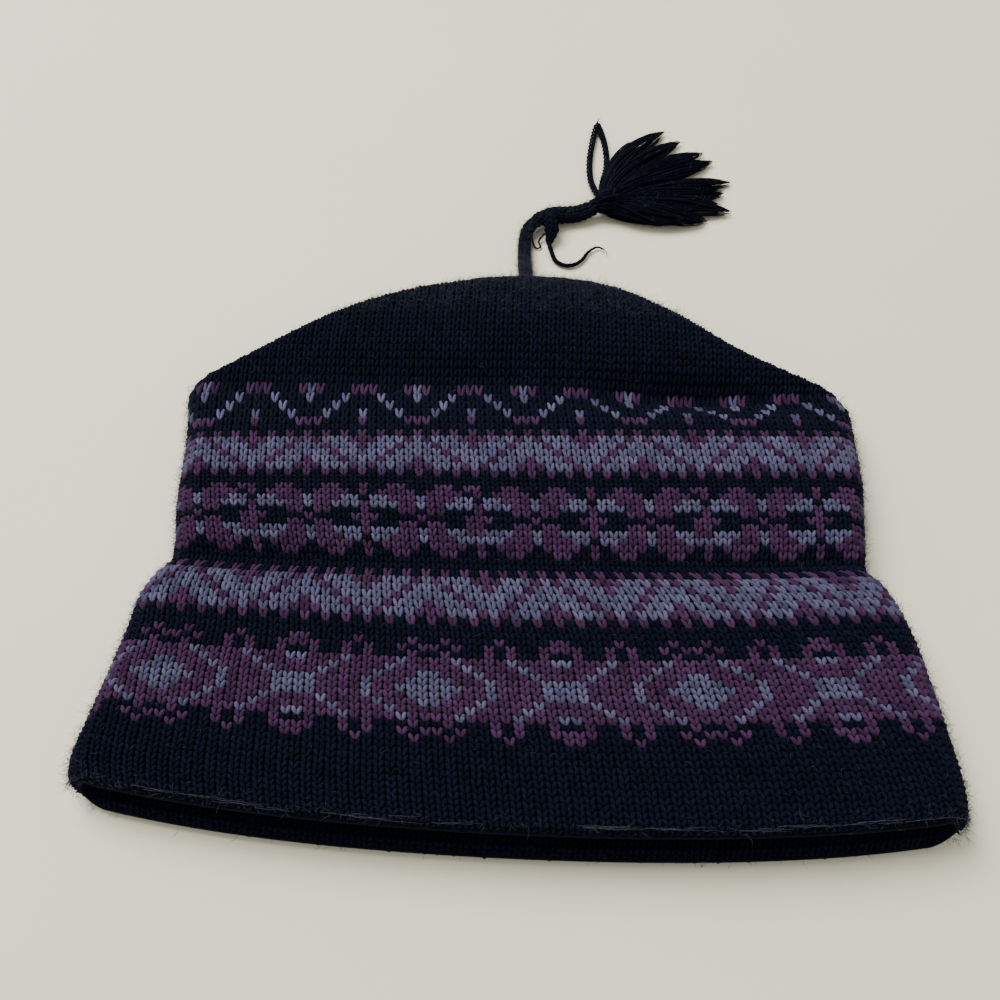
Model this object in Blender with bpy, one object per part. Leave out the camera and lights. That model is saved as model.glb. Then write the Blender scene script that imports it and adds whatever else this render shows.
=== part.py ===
"""A knitted winter hat lying flat, with a drawn-in crown, a folded hem, and a cord with a tassel.

Run with: blender --background --python part.py
The hat lies on its back on the plane z = 0. +X is to its right, +Y runs from its mouth to its crown
and +Z is up. The origin is under the middle of the hat itself, without its cord. Units are metres.
"""
import math
from collections import namedtuple

import bmesh
import bpy
import numpy as np
from mathutils import Vector

# Sizes of the hat as it lies
FIT_GAP = 0.0003  # clearance between pieces that touch
HAT_LENGTH = 0.229  # from the rim to the tip of the crown
BRIM_WIDTH = 0.272  # across the widest course, just above the rim
PUFF_HEIGHT = 0.026  # the puffed crown above the surface
KNIT_WALL = 0.003  # thickness of one layer of the knitting
HEM_DEPTH = 0.045  # how far the folded hem reaches inside
HEM_LIP = 0.0065  # how far the fold itself reaches, before the hem facing starts
HEM_START = HEM_LIP + 4 * FIT_GAP  # where the hem facing starts, clear of the fold even where it turns
RIM_STEP = 0.004  # the upper rim lies this far behind the lower one
RIM_CORNER = 0.0035  # how far the two corners of the rim are rounded off
FOLD_ROUNDING = 0.29  # place of the fold's slanting faces, as a share of half its thickness

# Sizes of the cord and the tassel
CORD_DIAMETER = 0.0056
YARN_DIAMETER = 0.0022  # the loose yarn end beside the knot
LOOP_DIAMETER = 0.0020  # the yarn loop that escapes from the tassel
KNOT_WIDTH = 0.0160
KNOT_HEIGHT = 0.0090
KNOT_WRAP = 0.07  # how far the knot's wraps stand out, as a share of its radius
KNOT_WRAPS = 3
KNOT_LEAN = 2.0  # how far the wraps lean, in radians over the knot's length
TASSEL_LENGTH = 0.060  # from the head to the longest lock's tip
TASSEL_HEAD = 0.0135  # diameter of the bound head
LOCK_WIDTH = 0.0100
LOCK_GRID = 0.0021  # cell size at which the locks are fused

# How finely the knitted shell is modelled
TOP_STEPS = 24
CORNER_STEPS = 4
BED_STEPS = 12
RING = TOP_STEPS + 2 * CORNER_STEPS + BED_STEPS

# The sections of the hat, from the rim to the crown's tip.
#   along   place of the course at the middle of the hat, as a share of HAT_LENGTH
#   left, right   half widths, as shares of half the BRIM_WIDTH
#   height  height of the upper layer at the middle, as a share of PUFF_HEIGHT
#   lift    height of the lower layer above the surface, as a share of PUFF_HEIGHT
#   bend    how far the course's ends curve towards the crown, as a share of HAT_LENGTH
#   skew    how far the right end lies ahead and the left end behind, as a share of HAT_LENGTH
Section = namedtuple("Section", "along left right height lift bend skew")
SECTIONS = [
    Section(0.000, 0.988, 0.990, 0.800, 0.000, 0.032, -0.004),
    Section(0.025, 0.996, 0.997, 0.806, 0.000, 0.032, -0.003),
    Section(0.050, 1.000, 1.000, 0.810, 0.000, 0.032, 0.000),
    Section(0.125, 0.987, 0.991, 0.800, 0.000, 0.030, 0.006),
    Section(0.200, 0.967, 0.975, 0.790, 0.000, 0.029, 0.009),
    Section(0.275, 0.949, 0.955, 0.780, 0.000, 0.028, 0.010),
    Section(0.330, 0.938, 0.930, 0.770, 0.000, 0.026, 0.010),
    Section(0.365, 0.914, 0.904, 0.745, 0.000, 0.024, 0.010),
    Section(0.395, 0.884, 0.870, 0.715, 0.000, 0.022, 0.010),
    Section(0.430, 0.886, 0.876, 0.790, 0.000, 0.020, 0.011),
    Section(0.490, 0.901, 0.885, 0.860, 0.000, 0.016, 0.014),
    Section(0.555, 0.909, 0.897, 0.860, 0.000, 0.012, 0.018),
    Section(0.600, 0.914, 0.897, 0.840, 0.000, 0.009, 0.021),
    Section(0.650, 0.924, 0.898, 0.790, 0.000, 0.004, 0.020),
    Section(0.700, 0.941, 0.902, 0.710, 0.000, 0.001, 0.013),
    Section(0.723, 0.949, 0.890, 0.700, 0.000, 0.000, 0.010),
    Section(0.750, 0.918, 0.852, 0.780, 0.000, 0.000, 0.006),
    Section(0.775, 0.845, 0.765, 0.860, 0.000, 0.000, 0.003),
    Section(0.800, 0.775, 0.680, 0.930, 0.000, 0.000, 0.001),
    Section(0.830, 0.700, 0.598, 0.980, 0.000, 0.000, 0.000),
    Section(0.865, 0.612, 0.522, 1.000, 0.000, 0.000, 0.000),
    Section(0.900, 0.510, 0.440, 0.980, 0.000, 0.000, 0.000),
    Section(0.930, 0.395, 0.362, 0.930, 0.015, 0.000, 0.000),
    Section(0.955, 0.275, 0.290, 0.840, 0.060, 0.000, 0.000),
    Section(0.975, 0.180, 0.212, 0.720, 0.130, 0.000, 0.000),
    Section(0.990, 0.092, 0.136, 0.580, 0.220, 0.000, 0.000),
    Section(1.000, 0.022, 0.030, 0.450, 0.320, 0.000, 0.000),
]

# Dents and swellings of the upper layer.
#   along   place, as a share of HAT_LENGTH
#   across  place, as a share of the half width there: -1 is the left edge, 1 the right one
#   long    half length along the hat, as a share of HAT_LENGTH
#   wide    half width across the hat, as a share of the half width there
#   depth   as a share of PUFF_HEIGHT, negative for a swelling
Dent = namedtuple("Dent", "along across long wide depth")
DENTS = [
    Dent(0.722, 0.52, 0.034, 0.30, 0.270),
    Dent(0.742, -0.30, 0.030, 0.45, 0.080),
    Dent(0.388, -0.75, 0.022, 0.35, 0.090),
    Dent(0.396, 0.80, 0.022, 0.35, 0.090),
    Dent(0.040, 0.10, 0.060, 0.70, 0.060),
    Dent(0.520, -0.45, 0.070, 0.30, -0.060),
    Dent(0.845, 0.10, 0.060, 0.45, -0.060),
    Dent(0.160, 0.62, 0.080, 0.25, -0.040),
]

EDGE_LEVEL = 0.40  # height of the widest line of a section, as a share of its height
EDGE_FULLNESS = 0.76  # height of the upper layer beside its round edge, as a share of its middle
CORNER_RATIO = 1.15  # width to height of the round edges
CORNER_LIMIT = 0.7  # the most that a round edge takes of the half width
STEP_FADE = 0.16  # share of HAT_LENGTH over which the upper rim's step back fades
PLEATS = 11  # gathers drawn in round the crown's tip
PLEAT_DEPTH = 0.10  # as a share of the section's size at the tip
PLEAT_START = 0.945  # share of HAT_LENGTH where the gathers begin
HOLLOW_END = 0.985  # share of HAT_LENGTH where the hollow closes

# The cord's route, from the crown's tip to the tassel, in metres: points chosen by hand. The first
# stretch runs from the tip down to the surface and on to the knot, the second from the knot to the
# tassel's head.
CORD_ROUTE_LOW = [
    (-0.0015, 0.1153, 0.0101),
    (-0.0017, 0.1200, 0.0092),
    (-0.0020, 0.1260, 0.0060),
    (-0.0024, 0.1320, 0.0036),
    (-0.0026, 0.1395, 0.0030),
    (-0.0025, 0.1467, 0.0034),
]
CORD_ROUTE_HIGH = [
    (0.0101, 0.1600, 0.0040),
    (0.0160, 0.1630, 0.0034),
    (0.0215, 0.1648, 0.0038),
    (0.0277, 0.1665, 0.0057),
]
KNOT_CENTRE = (0.0030, 0.1545)
TASSEL_CENTRE = (0.0345, 0.1678)
# The loose yarn end, from the knot to its thin tip, and the yarn loop, from the tassel's head up its
# left side to the point and down its right side.
YARN_ROUTE = [
    (0.0074, 0.1474, 0.0031),
    (0.0094, 0.1405, 0.0014),
    (0.0112, 0.1360, 0.0012),
    (0.0150, 0.1336, 0.0012),
    (0.0192, 0.1342, 0.0012),
    (0.0225, 0.1372, 0.0012),
    (0.0252, 0.1420, 0.0012),
    (0.0290, 0.1452, 0.0012),
    (0.0320, 0.1440, 0.0012),
]
YARN_TAPER = [1.0, 0.95, 0.9, 0.85, 0.85, 0.7, 0.5, 0.3, 0.15]
LOOP_ROUTE = [
    (0.0290, 0.1770, 0.0036),
    (0.0266, 0.1845, 0.0024),
    (0.0256, 0.1950, 0.0014),
    (0.0262, 0.2060, 0.0012),
    (0.0280, 0.2170, 0.0012),
    (0.0294, 0.2235, 0.0012),
    (0.0308, 0.2262, 0.0012),
    (0.0322, 0.2230, 0.0012),
    (0.0338, 0.2150, 0.0012),
    (0.0346, 0.2060, 0.0012),
    (0.0342, 0.1975, 0.0014),
    (0.0326, 0.1895, 0.0024),
]

# The tassel's locks, spread out on the surface like a fan.
#   turn    direction in degrees, from +X towards +Y
#   reach   as a share of TASSEL_LENGTH
#   bow     how far the lock swings out to its left, as a share of TASSEL_LENGTH
#   girth   as a share of LOCK_WIDTH
#   level   height of the lock's middle, as a share of LOCK_WIDTH
Lock = namedtuple("Lock", "turn reach bow girth level")
LOCKS = [
    Lock(74.0, 0.80, 0.030, 0.80, 0.34),
    Lock(62.5, 1.00, 0.110, 0.95, 0.44),
    Lock(53.0, 0.96, 0.090, 0.95, 0.62),
    Lock(42.0, 1.00, 0.070, 1.00, 0.46),
    Lock(34.0, 0.97, 0.050, 1.00, 0.66),
    Lock(21.0, 0.98, 0.030, 1.05, 0.44),
    Lock(13.0, 0.90, 0.010, 1.00, 0.64),
    Lock(4.0, 0.80, -0.020, 1.00, 0.48),
    Lock(-6.0, 0.88, -0.050, 1.00, 0.40),
]
LOCK_SECTIONS = [
    # share of the lock's length, share of its girth
    (0.00, 0.80),
    (0.15, 1.00),
    (0.40, 1.10),
    (0.65, 0.95),
    (0.85, 0.60),
    (1.00, 0.16),
]
LOCK_FLATNESS = 0.62  # height of a lock, as a share of its width
LOCK_SIDES = 10
LOCK_DROP = 0.75  # share of its level that a lock loses towards its tip
LOCK_SWING = 0.8  # below 1 a lock swings out nearer to the head
CURVE_SAMPLES = 16  # samples of a route between two of its points


def clear_scene():
    for old in list(bpy.data.objects):
        bpy.data.objects.remove(old, do_unlink=True)


def material(name, colour, roughness):
    made = bpy.data.materials.new(name)
    made.use_nodes = True
    shader = made.node_tree.nodes["Principled BSDF"]
    shader.inputs["Base Color"].default_value = (*colour, 1.0)
    shader.inputs["Roughness"].default_value = roughness
    shader.inputs["Metallic"].default_value = 0.0
    return made


def add_object(name, mesh, made_material, angle=40.0):
    mesh.shade_smooth()
    mesh.set_sharp_from_angle(angle=math.radians(angle))
    made = bpy.data.objects.new(name, mesh)
    made.data.materials.append(made_material)
    bpy.context.scene.collection.objects.link(made)
    return made


def column(name, share):
    """A column of SECTIONS at a share of the length, read from a smooth curve through its rows."""
    x = np.array([row.along for row in SECTIONS])
    y = np.array([getattr(row, name) for row in SECTIONS])
    slopes = np.gradient(y, x)
    rises = np.diff(y) / np.diff(x)
    flat = np.zeros(len(x), bool)
    flat[1:-1] = rises[:-1] * rises[1:] <= 0
    slopes[flat] = 0.0
    share = np.clip(share, 0.0, 1.0)
    i = np.clip(np.searchsorted(x, share) - 1, 0, len(x) - 2)
    step = x[i + 1] - x[i]
    t = (share - x[i]) / step
    return (
        y[i] * (1 + 2 * t) * (1 - t) ** 2
        + slopes[i] * step * t * (1 - t) ** 2
        + y[i + 1] * t**2 * (3 - 2 * t)
        + slopes[i + 1] * step * t**2 * (t - 1)
    )


def hat_point(share, place):
    """A point of the hat's outer surface.

    share is the course, from 0 at the rim to 1 at the crown's tip. place counts round the section:
    0 is its right edge, TOP_STEPS its left edge by way of the upper layer, and RING the right edge
    again by way of the layer that lies on the surface.
    """
    share, place = np.broadcast_arrays(np.asarray(share, float), np.asarray(place, float) % RING)
    half = BRIM_WIDTH / 2
    left, right = column("left", share) * half, column("right", share) * half
    lift = column("lift", share) * PUFF_HEIGHT
    height = column("height", share) * PUFF_HEIGHT
    level = lift + EDGE_LEVEL * (height - lift)

    # The upper layer is one arch from the right edge to the left one.
    over = np.cos(np.pi * np.clip(place, 0, TOP_STEPS) / TOP_STEPS)
    width = np.where(over > 0, right, left)
    corner = np.minimum(CORNER_RATIO * (level - lift), CORNER_LIMIT * width)
    x = over * width
    rise = np.clip(width * (1 - np.abs(over)) / corner, 0, 1)
    arch = np.sqrt(1 - (1 - rise) ** 2) * (EDGE_FULLNESS + (1 - EDGE_FULLNESS) * (1 - over**2))
    z = level + (height - level) * arch
    for dent in DENTS:
        fall = ((share - dent.along) / dent.long) ** 2 + ((over - dent.across) / dent.wide) ** 2
        z = z - dent.depth * PUFF_HEIGHT * np.exp(-fall) * arch

    # The lower layer is flat on the surface between two round corners.
    under = place > TOP_STEPS
    turn = place - TOP_STEPS
    for side, width, start in ((-1, left, turn), (1, right, RING - place)):
        corner = np.minimum(CORNER_RATIO * (level - lift), CORNER_LIMIT * width)
        angle = np.clip(start / CORNER_STEPS, 0, 1) * np.pi / 2
        near = under & (start <= CORNER_STEPS)
        x = np.where(near, side * (width - corner + corner * np.cos(angle)), x)
        z = np.where(near, level - (level - lift) * np.sin(angle), z)
    corner_left = np.minimum(CORNER_RATIO * (level - lift), CORNER_LIMIT * left)
    corner_right = np.minimum(CORNER_RATIO * (level - lift), CORNER_LIMIT * right)
    bed = np.clip((turn - CORNER_STEPS) / BED_STEPS, 0, 1)
    lying = under & (turn > CORNER_STEPS) & (turn < CORNER_STEPS + BED_STEPS)
    x = np.where(lying, -(left - corner_left) * (1 - bed) + (right - corner_right) * bed, x)
    z = np.where(lying, lift, z)

    # Gathers draw the tip in, and the courses bend and lean along the hat.
    drawn = np.clip((share - PLEAT_START) / (1 - PLEAT_START), 0, 1)
    pleat = 1 - PLEAT_DEPTH * drawn * (0.5 - 0.5 * np.cos(2 * np.pi * PLEATS * place / RING))
    middle = (lift + height) / 2
    x, z = x * pleat, middle + (z - middle) * pleat
    side = np.where(x > 0, x / right, x / left)
    y = (share - 0.5) * HAT_LENGTH
    y = y + (column("bend", share) * side**2 + column("skew", share) * side) * HAT_LENGTH
    y = y + RIM_CORNER * side**4 * np.clip(1 - share / STEP_FADE, 0, 1) ** 2
    upper = np.clip((z - lift) / np.maximum(height - lift, 1e-6), 0, 1)
    y = y + RIM_STEP * upper * np.clip(1 - share / STEP_FADE, 0, 1) ** 2
    return np.stack([x, y, z], axis=-1)


def inward(share, place):
    """The direction from the outer surface into the hat."""
    fine = 1e-3
    ahead = hat_point(np.minimum(share + fine, 1.0), place)
    along = ahead - hat_point(np.maximum(share - fine, 0.0), place)
    around = hat_point(share, place + 0.1) - hat_point(share, place - 0.1)
    across = np.cross(around, along)
    return across / np.linalg.norm(across, axis=-1, keepdims=True)


def hat_ring(distance, depth):
    """A ring of points at a distance from the rim and a depth below the outer surface."""
    place = np.arange(RING, dtype=float)
    share = np.full(RING, distance / HAT_LENGTH)
    return hat_point(share, place) + depth * inward(share, place)


def loft(rings, close_start, close_end, closed_loop=False):
    """A mesh over rings with as many points each, joined in order."""
    body = bmesh.new()
    loops = [[body.verts.new(Vector(p)) for p in ring] for ring in rings]
    pairs = list(zip(loops, loops[1:]))
    if closed_loop:
        pairs.append((loops[-1], loops[0]))
    for first, second in pairs:
        count = len(first)
        for i in range(count):
            j = (i + 1) % count
            body.faces.new((first[i], first[j], second[j], second[i]))
    for wanted, ring in ((close_start, loops[0]), (close_end, loops[-1])):
        if wanted:
            centre = body.verts.new(sum((v.co for v in ring), Vector()) / len(ring))
            for i, vertex in enumerate(ring):
                body.faces.new((vertex, ring[(i + 1) % len(ring)], centre))
    bmesh.ops.recalc_face_normals(body, faces=body.faces)
    mesh = bpy.data.meshes.new("loft")
    body.to_mesh(mesh)
    body.free()
    return mesh


def stations(start, end):
    """Distances from the rim between start and end at which the shell and the facing both have rings."""
    marks = [row.along * HAT_LENGTH for row in SECTIONS]
    marks = [mark for mark in marks if abs(mark - HEM_DEPTH) > KNIT_WALL] + [HEM_DEPTH]
    return sorted(mark for mark in marks if start < mark < end)


def knitted_shell(wool):
    """The whole knitted wall, from the folded rim to the gathered tip, hollow and open at the mouth."""
    fold = 2 * KNIT_WALL + FIT_GAP
    edge = fold / 2
    slant = edge * FOLD_ROUNDING
    outer = [(slant, slant), (edge, 0.0)]
    outer += [(mark, 0.0) for mark in stations(fold, HAT_LENGTH) + [HAT_LENGTH]]
    lip = [(HEM_LIP, fold), (edge, fold), (slant, fold - slant), (0.0, edge)]
    marks = stations(HEM_LIP + KNIT_WALL / 2, HOLLOW_END * HAT_LENGTH)
    inner = [(HOLLOW_END * HAT_LENGTH, KNIT_WALL)]
    inner += [(mark, KNIT_WALL) for mark in reversed([HEM_START] + marks)] + [(HEM_LIP, KNIT_WALL)]
    rings = [hat_ring(*row) for row in inner + lip + outer]
    return add_object("knitted_shell", loft(rings, True, True), wool)


def hem_facing(navy):
    """The folded-in hem: a second layer inside the mouth, clear of the wall that it lies against."""
    near = KNIT_WALL + FIT_GAP
    far = near + KNIT_WALL
    stops = [HEM_START] + stations(HEM_LIP + KNIT_WALL / 2, HEM_DEPTH) + [HEM_DEPTH]
    rings = [hat_ring(stop, near) for stop in stops] + [hat_ring(stop, far) for stop in reversed(stops)]
    return add_object("hem_facing", loft(rings, False, False, closed_loop=True), navy)


def smooth_route(points, spacing):
    """Points at about equal spacing along a smooth curve through a route's own points."""
    known = np.array(points)
    padded = np.vstack([2 * known[0] - known[1], known, 2 * known[-1] - known[-2]])
    dense = []
    for i in range(1, len(padded) - 2):
        a, b, c, d = padded[i - 1 : i + 3]
        for t in np.linspace(0, 1, CURVE_SAMPLES, endpoint=False):
            bow = (2 * a - 5 * b + 4 * c - d) * t**2 + (3 * b - a - 3 * c + d) * t**3
            dense.append(0.5 * (2 * b + (c - a) * t + bow))
    dense = np.array(dense + [padded[-2]])
    run = np.concatenate([[0], np.cumsum(np.linalg.norm(np.diff(dense, axis=0), axis=1))])
    count = max(4, round(run[-1] / spacing) + 1)
    marks = np.linspace(0, run[-1], count)
    return np.stack([np.interp(marks, run, dense[:, k]) for k in range(3)], axis=1), marks / run[-1]


def cord_tube(name, route, diameter, made_material, taper=None, spacing=2.0, resolution=3):
    """A cord or yarn as a bevelled curve with filled ends."""
    points, marks = smooth_route(route, spacing * diameter)
    curve = bpy.data.curves.new(name, "CURVE")
    curve.dimensions = "3D"
    curve.bevel_depth = diameter / 2
    curve.bevel_resolution = resolution
    curve.use_fill_caps = True
    spline = curve.splines.new("POLY")
    spline.points.add(len(points) - 1)
    for i, (point, mark) in enumerate(zip(points, marks)):
        spline.points[i].co = (*point, 1.0)
        if taper:
            spline.points[i].radius = float(np.interp(mark, np.linspace(0, 1, len(taper)), taper))
    curve.materials.append(made_material)
    made = bpy.data.objects.new(name, curve)
    bpy.context.scene.collection.objects.link(made)
    return made


def cord_knot(navy):
    """The knot in the cord: a squat lump with two wraps round it, resting on the surface."""
    ball = bmesh.new()
    bmesh.ops.create_uvsphere(ball, u_segments=16, v_segments=10, radius=0.5)
    for vertex in ball.verts:
        x, y, z = vertex.co
        wrap = 1 + KNOT_WRAP * math.cos(KNOT_WRAPS * math.atan2(z, x) + KNOT_LEAN * y)
        vertex.co = (
            x * KNOT_WIDTH * wrap + KNOT_CENTRE[0],
            y * KNOT_WIDTH * wrap + KNOT_CENTRE[1],
            max(z * KNOT_HEIGHT + KNOT_HEIGHT / 2, FIT_GAP),
        )
    mesh = bpy.data.meshes.new("cord_knot")
    ball.to_mesh(mesh)
    ball.free()
    return add_object("cord_knot", mesh, navy)


def lock_rings(lock):
    """The rings of one lock, from the tassel's head to the lock's tip."""
    along = Vector((math.cos(math.radians(lock.turn)), math.sin(math.radians(lock.turn)), 0))
    left = Vector((-along.y, along.x, 0))
    reach = lock.reach * TASSEL_LENGTH
    rings = []
    for share, girth in LOCK_SECTIONS:
        wide = girth * lock.girth * LOCK_WIDTH / 2
        high = wide * LOCK_FLATNESS
        swing = lock.bow * TASSEL_LENGTH * math.sin(math.pi * share**LOCK_SWING)
        middle = Vector((*TASSEL_CENTRE, 0)) + along * (share * reach) + left * swing
        middle.z = max(lock.level * LOCK_WIDTH * (1 - LOCK_DROP * share), high + FIT_GAP)
        ring = []
        for i in range(LOCK_SIDES):
            angle = 2 * math.pi * i / LOCK_SIDES
            ring.append(middle + left * (wide * math.cos(angle)) + Vector((0, 0, high * math.sin(angle))))
        rings.append(ring)
    return rings


def tassel(navy):
    """The tassel: locks fused to a bound head, spread on the surface."""
    body = bmesh.new()
    head = bmesh.ops.create_uvsphere(body, u_segments=16, v_segments=10, radius=TASSEL_HEAD / 2)
    bmesh.ops.translate(body, verts=head["verts"], vec=(*TASSEL_CENTRE, TASSEL_HEAD / 2 + FIT_GAP))
    for lock in LOCKS:
        body.from_mesh(loft(lock_rings(lock), True, True))
    mesh = bpy.data.meshes.new("tassel")
    body.to_mesh(mesh)
    body.free()
    made = add_object("tassel", mesh, navy)
    fuse = made.modifiers.new("Fuse", "REMESH")
    fuse.mode = "VOXEL"
    fuse.voxel_size = LOCK_GRID
    fuse.use_smooth_shade = True
    return made


def build():
    clear_scene()
    navy = material("navy_wool", (0.012, 0.017, 0.038), 0.95)
    patterned = material("patterned_wool", (0.055, 0.060, 0.100), 0.95)
    knitted_shell(patterned)
    hem_facing(navy)
    cord_tube("crown_cord", CORD_ROUTE_LOW, CORD_DIAMETER, navy, spacing=1.5)
    cord_knot(navy)
    cord_tube("tassel_cord", CORD_ROUTE_HIGH, CORD_DIAMETER, navy, spacing=1.5)
    cord_tube("yarn_end", YARN_ROUTE, YARN_DIAMETER, navy, YARN_TAPER, resolution=2)
    cord_tube("yarn_loop", LOOP_ROUTE, LOOP_DIAMETER, navy, spacing=3.0, resolution=2)
    tassel(navy)


build()
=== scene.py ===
# %% [markdown]
# # A knitted winter hat that lies flat, with a tasselled cord
# The real hat is knitted from three soft wool yarns: navy, plum and slate. Every stitch is a small V
# of two yarn legs. Here each V is real geometry: one leg is modelled, and copies of it are
# laid along the courses of the hat. Blender's own units are metres, and the imported model is the frame.

# %% Load the frame
import math
from collections import namedtuple

import bpy
import numpy as np
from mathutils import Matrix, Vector


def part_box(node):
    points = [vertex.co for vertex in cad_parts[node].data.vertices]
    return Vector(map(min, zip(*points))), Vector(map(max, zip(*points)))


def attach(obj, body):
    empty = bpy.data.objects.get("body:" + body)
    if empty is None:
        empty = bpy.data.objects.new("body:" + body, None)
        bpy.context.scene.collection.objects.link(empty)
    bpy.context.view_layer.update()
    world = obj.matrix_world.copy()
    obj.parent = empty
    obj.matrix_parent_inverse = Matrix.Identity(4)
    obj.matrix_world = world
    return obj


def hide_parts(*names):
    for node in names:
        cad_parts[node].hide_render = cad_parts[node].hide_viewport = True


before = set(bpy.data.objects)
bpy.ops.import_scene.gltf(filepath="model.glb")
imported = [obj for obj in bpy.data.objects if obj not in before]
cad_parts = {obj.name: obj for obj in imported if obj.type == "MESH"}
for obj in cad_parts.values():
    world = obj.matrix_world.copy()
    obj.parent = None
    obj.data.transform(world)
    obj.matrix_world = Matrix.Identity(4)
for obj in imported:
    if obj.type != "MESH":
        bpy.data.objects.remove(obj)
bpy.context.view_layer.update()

random = np.random.default_rng(7)

# %% [markdown]
# ## The camera
# The photograph looks down on the hat at 57 degrees from a little in front of its rim. A camera in
# Blender looks along its own -Z, so tilting it up from straight down by the rest of the right angle
# gives that view, and a small turn about Z gives the slight skew of the hat in the picture.

# %% Camera
camera_data = bpy.data.cameras.new("photo_camera")
camera_data.sensor_width = 36.0
camera_data.lens = 36.1
camera = bpy.data.objects.new("photo_camera", camera_data)
camera.location = (-0.0007, -0.1854, 0.312)
camera.rotation_euler = (math.radians(32.5), 0.0, math.radians(2.2))
bpy.context.scene.collection.objects.link(camera)
bpy.context.scene.camera = camera
print("camera", tuple(round(v, 4) for v in camera.location), "lens", camera_data.lens)


# %% [markdown]
# ## Small helpers
# Blender's operators act on everything that is selected, so each step starts with nothing selected.
# A finished piece rides on the one body, gets its finish, and stands for the plain
# solids that it replaces.

# %% Helpers for pieces
def leave_all():
    """Back to object mode with nothing selected."""
    if bpy.context.object and bpy.context.object.mode != "OBJECT":
        bpy.ops.object.mode_set(mode="OBJECT")
    bpy.ops.object.select_all(action="DESELECT")


def pick(*objects):
    """Selects just these objects, the first one active."""
    leave_all()
    for made in objects:
        made.select_set(True)
    bpy.context.view_layer.objects.active = objects[0]


def edit_all(made, *steps):
    """Runs edit-mode operators on the whole of a piece. A step is an operator and its settings."""
    pick(made)
    bpy.ops.object.mode_set(mode="EDIT")
    bpy.ops.mesh.select_all(action="SELECT")
    for operator, settings in steps:
        operator(**settings)
    leave_all()


def unit(vectors):
    """Vectors of length one in the same directions."""
    return vectors / np.maximum(np.linalg.norm(vectors, axis=-1, keepdims=True), 1e-9)


def hand_in(piece, finish, slot, *nodes):
    """Gives a finished piece its material and its body, and hides the solids that it stands for. The slot
    is not used.
    """
    piece.data.materials.clear()
    piece.data.materials.append(finish)
    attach(piece, "root")
    if nodes:
        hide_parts(*nodes)
    print(piece.name, "has", len(piece.data.vertices), "points and", len(piece.data.polygons), "faces")


# %% [markdown]
# ## Shader maths as Python
# A Math node for every sum makes a long list of nodes. This small class wraps a socket, so that a
# sum written in Python adds its own nodes. Any other node comes from the one method Finish.node.

# %% The socket class and the finish class
class Wire:
    """A number that varies over a surface, as the output of a node."""

    def __init__(self, finish, socket):
        self.finish, self.socket = finish, socket

    def sum_with(self, operation, other):
        made = self.finish.node("ShaderNodeMath", {"operation": operation}, {0: self, 1: other})
        return Wire(self.finish, made.outputs[0])

    def __add__(self, other):
        return self.sum_with("ADD", other)

    def __sub__(self, other):
        return self.sum_with("SUBTRACT", other)

    def __mul__(self, other):
        return self.sum_with("MULTIPLY", other)

    def __pow__(self, other):
        return self.sum_with("POWER", other)

    __rmul__ = __mul__


class Finish:
    """A material that is put together node by node."""

    def __init__(self, name):
        self.material = bpy.data.materials.new(name)
        self.material.use_nodes = True
        self.tree = self.material.node_tree
        self.shader = self.tree.nodes["Principled BSDF"]

    def node(self, kind, settings=None, inputs=None):
        made = self.tree.nodes.new(kind)
        for name, value in (settings or {}).items():
            setattr(made, name, value)
        for name, value in (inputs or {}).items():
            self.join(value, made.inputs[name])
        return made

    def join(self, value, socket):
        if isinstance(value, Wire):
            value = value.socket
        if isinstance(value, bpy.types.NodeSocket):
            self.tree.links.new(value, socket)
        else:
            socket.default_value = value

    def set(self, **inputs):
        for name, value in inputs.items():
            self.join(value, self.shader.inputs[name.replace("_", " ")])

    def place(self):
        return self.node("ShaderNodeTexCoord").outputs["Object"]

    def attribute(self, name):
        return Wire(self, self.node("ShaderNodeAttribute", {"attribute_name": name}).outputs["Fac"])

    def noise(self, place, scale, detail=2.0, roughness=0.5):
        inputs = {"Vector": place, "Scale": scale, "Detail": detail, "Roughness": roughness}
        return Wire(self, self.node("ShaderNodeTexNoise", None, inputs).outputs["Fac"])

    def mix(self, share, first, second):
        inputs = {"Factor": share, 6: first, 7: second}
        return self.node("ShaderNodeMix", {"data_type": "RGBA"}, inputs).outputs[2]

    def bump(self, height, strength, distance):
        inputs = {"Height": height, "Strength": strength, "Distance": distance}
        return self.node("ShaderNodeBump", None, inputs).outputs["Normal"]


# %% [markdown]
# ## The wool
# Wool is never one flat colour: fibres of a darker and a lighter shade are spun together, each stitch
# catches a little more or less dye, and a haze of loose fibres softens every edge. So the colour is
# mixed between a deep and a pale shade by two noises and by a number that each stitch carries. The
# fibres themselves are a fine bump, and the haze is the shader's sheen.

# %% Wool finishes
FIBRE_SCALE = 2600.0
LINT_SCALE = 1100.0
HEATHER_SCALE = 420.0
FIBRE_SHARE = 0.90
HEATHER_SHARE = 0.70
STITCH_SHARE = 0.55
DEEPER = 0.60
HAZE_TINT = (0.60, 0.66, 0.80, 1.0)
BUMP_STRENGTH = 0.85
BUMP_HEIGHT = 0.0006


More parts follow.
